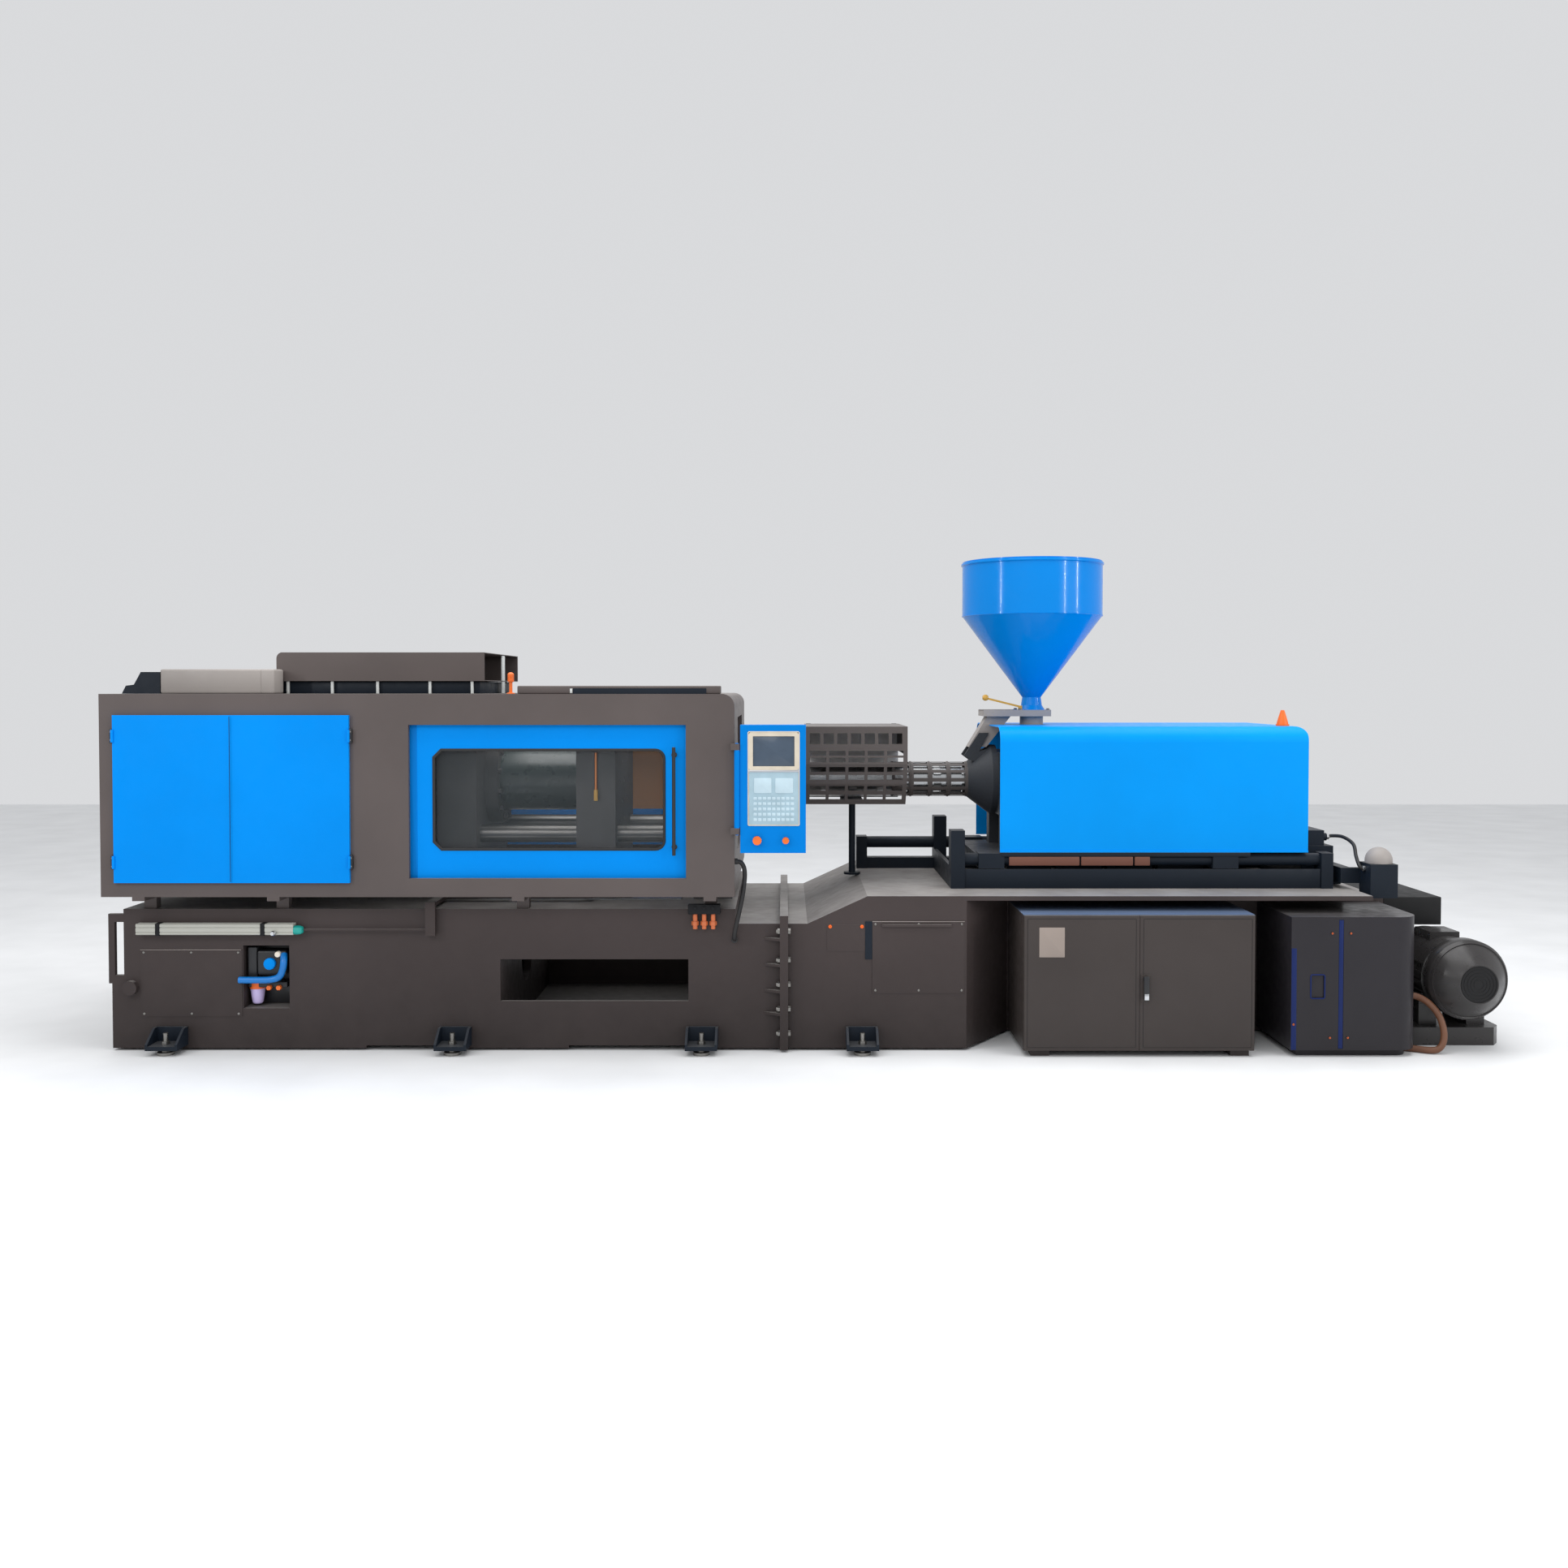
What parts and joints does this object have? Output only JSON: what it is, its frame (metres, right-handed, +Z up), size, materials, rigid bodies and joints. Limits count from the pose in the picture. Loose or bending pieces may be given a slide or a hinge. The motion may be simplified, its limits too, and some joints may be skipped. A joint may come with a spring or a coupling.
{
  "type": "injection moulding machine",
  "caption": "Horizontal hydraulic injection moulding machine with guarded clamp unit, sliding door, swivelling operator panel, injection unit with hopper, and electrical cabinets in the bed.",
  "frame": {"origin": "on the floor, midway along and across the machine", "axes": "+X from the clamp unit towards the injection unit, +Z up, -Y towards the operator"},
  "size_m": [6.886, 1.726, 2.4583],
  "materials": {
    "bed_paint": "satin",
    "guard_paint": "satin",
    "dark_paint": "satin",
    "cabinet_paint": "satin",
    "blue_paint": "satin",
    "hopper_paint": "gloss",
    "panel_paint": "satin",
    "pale_paint": "satin",
    "platen_iron": "satin",
    "machined_steel": "satin",
    "ram_steel": "gloss",
    "bright_chrome": "gloss",
    "sensor_aluminium": "satin",
    "window_glass": "gloss",
    "screen_plastic": "gloss",
    "orange_plastic": "gloss",
    "yellow_plastic": "gloss",
    "black_plastic": "matte",
    "hose_rubber": "matte"
  },
  "bodies": {
    "base": {"clamp_bed": "bed_paint", "injection_bed": "bed_paint", "foot_brackets": "bed_paint", "frame_bolts": "machined_steel", "slideways": "machined_steel", "bed_covers": "bed_paint", "fixed_platen": "platen_iron", "tie_bars": "bright_chrome", "tie_bar_nuts": "dark_paint", "cylinder_platen": "platen_iron", "clamp_cylinder": "dark_paint", "transducer_body": "sensor_aluminium", "lubricator": "black_plastic", "oil_manifold": "dark_paint", "guard_frame": "guard_paint", "door_rails": "dark_paint", "low_casing": "pale_paint", "high_casing": "guard_paint", "warning_lamp": "orange_plastic", "carriage_rails": "dark_paint", "guard_stand": "dark_paint", "cabinet_shell": "bed_paint", "service_cabinet": "cabinet_paint", "pump_motor": "dark_paint", "fan_cowl": "dark_paint", "hoses": "hose_rubber"},
    "clamp": {"clamp_ram": "ram_steel", "moving_platen": "platen_iron", "transducer_rod": "machined_steel"},
    "ejector": {"ejector_plate": "machined_steel"},
    "front_door": {"front_door": "blue_paint", "front_window": "window_glass"},
    "rear_door": {"rear_door": "blue_paint", "rear_window": "window_glass"},
    "cover_left": {"cover_door_left": "blue_paint"},
    "cover_right": {"cover_door_right": "blue_paint"},
    "panel": {"panel_case": "panel_paint", "panel_screen": "screen_plastic"},
    "stop_button": {"stop_button": "orange_plastic"},
    "start_button": {"start_button": "orange_plastic"},
    "carriage": {"carriage_base": "dark_paint", "feed_housing": "platen_iron", "barrel": "machined_steel", "heater_bands": "machined_steel", "barrel_cover": "dark_paint", "injection_cylinders": "dark_paint", "injection_cover": "blue_paint", "valve_block": "dark_paint", "hopper_slide": "pale_paint", "oil_filter": "pale_paint", "rear_hose": "hose_rubber"},
    "hopper": {"hopper": "hopper_paint"},
    "lid": {"hopper_lid": "hopper_paint"},
    "lever": {"slide_lever": "yellow_plastic"},
    "thrust": {"thrust_plate": "dark_paint"},
    "screw": {"screw": "machined_steel"},
    "purge": {"purge_guard": "dark_paint"},
    "cabinet_left": {"cabinet_door_left": "bed_paint"},
    "cabinet_right": {"cabinet_door_right": "bed_paint"},
    "cabinet_handle": {"cabinet_handle": "bright_chrome"}
  },
  "joints": [
    {"name": "clamp_stroke", "type": "slide", "parent": "base", "child": "clamp", "axis": [-1, 0, 0], "range_m": [-0.16, 0.4]},
    {"name": "ejector_stroke", "type": "slide", "parent": "clamp", "child": "ejector", "axis": [1, 0, 0], "range_m": [0, 0.06]},
    {"name": "front_door_slide", "type": "slide", "parent": "base", "child": "front_door", "axis": [-1, 0, 0], "range_m": [0, 1.15]},
    {"name": "rear_door_slide", "type": "slide", "parent": "base", "child": "rear_door", "axis": [-1, 0, 0], "range_m": [0, 1.15]},
    {"name": "cover_left_hinge", "type": "hinge", "parent": "base", "child": "cover_left", "pos_m": [-3.35, -0.8513, 1.2], "axis": [0, 0, -1], "range_deg": [0, 110]},
    {"name": "cover_right_hinge", "type": "hinge", "parent": "base", "child": "cover_right", "pos_m": [-2.218, -0.8513, 1.2], "axis": [0, 0, 1], "range_deg": [0, 110]},
    {"name": "panel_swivel", "type": "hinge", "parent": "base", "child": "panel", "pos_m": [-0.356, -0.85, 1.3], "axis": [0, 0, -1], "range_deg": [0, 100]},
    {"name": "stop_press", "type": "slide", "parent": "panel", "child": "stop_button", "axis": [0, 1, 0], "range_m": [0, 0.006], "stiffness_N_per_m": 400},
    {"name": "start_press", "type": "slide", "parent": "panel", "child": "start_button", "axis": [0, 1, 0], "range_m": [0, 0.006], "stiffness_N_per_m": 400},
    {"name": "carriage_slide", "type": "slide", "parent": "base", "child": "carriage", "axis": [1, 0, 0], "range_m": [-0.03, 0.35]},
    {"name": "injection_stroke", "type": "slide", "parent": "carriage", "child": "thrust", "axis": [1, 0, 0], "range_m": [0, 0.22]},
    {"name": "screw_turn", "type": "hinge", "parent": "thrust", "child": "screw", "pos_m": [1.8, 0, 1.29], "axis": [1, 0, 0], "continuous": true},
    {"name": "purge_hinge", "type": "hinge", "parent": "base", "child": "purge", "pos_m": [0.247, 0.319, 1.574], "axis": [-1, 0, 0], "range_deg": [0, 70]},
    {"name": "hopper_shift", "type": "slide", "parent": "carriage", "child": "hopper", "axis": [-1, 0, 0], "range_m": [0, 0.18]},
    {"name": "lid_hinge", "type": "hinge", "parent": "hopper", "child": "lid", "pos_m": [1.203, 0.385, 2.4513], "axis": [-1, 0, 0], "range_deg": [0, 75]},
    {"name": "lever_turn", "type": "hinge", "parent": "hopper", "child": "lever", "pos_m": [1.131, -0.07, 1.67], "axis": [0, 0, 1], "range_deg": [0, 80]},
    {"name": "cabinet_left_hinge", "type": "hinge", "parent": "base", "child": "cabinet_left", "pos_m": [1.034, -0.841, 0.36], "axis": [0, 0, -1], "range_deg": [0, 110]},
    {"name": "cabinet_right_hinge", "type": "hinge", "parent": "base", "child": "cabinet_right", "pos_m": [2.13, -0.841, 0.36], "axis": [0, 0, 1], "range_deg": [0, 110]},
    {"name": "handle_turn", "type": "hinge", "parent": "cabinet_right", "child": "cabinet_handle", "pos_m": [1.61, -0.866, 0.38], "axis": [0, -1, 0], "range_deg": [0, 90]}
  ]
}
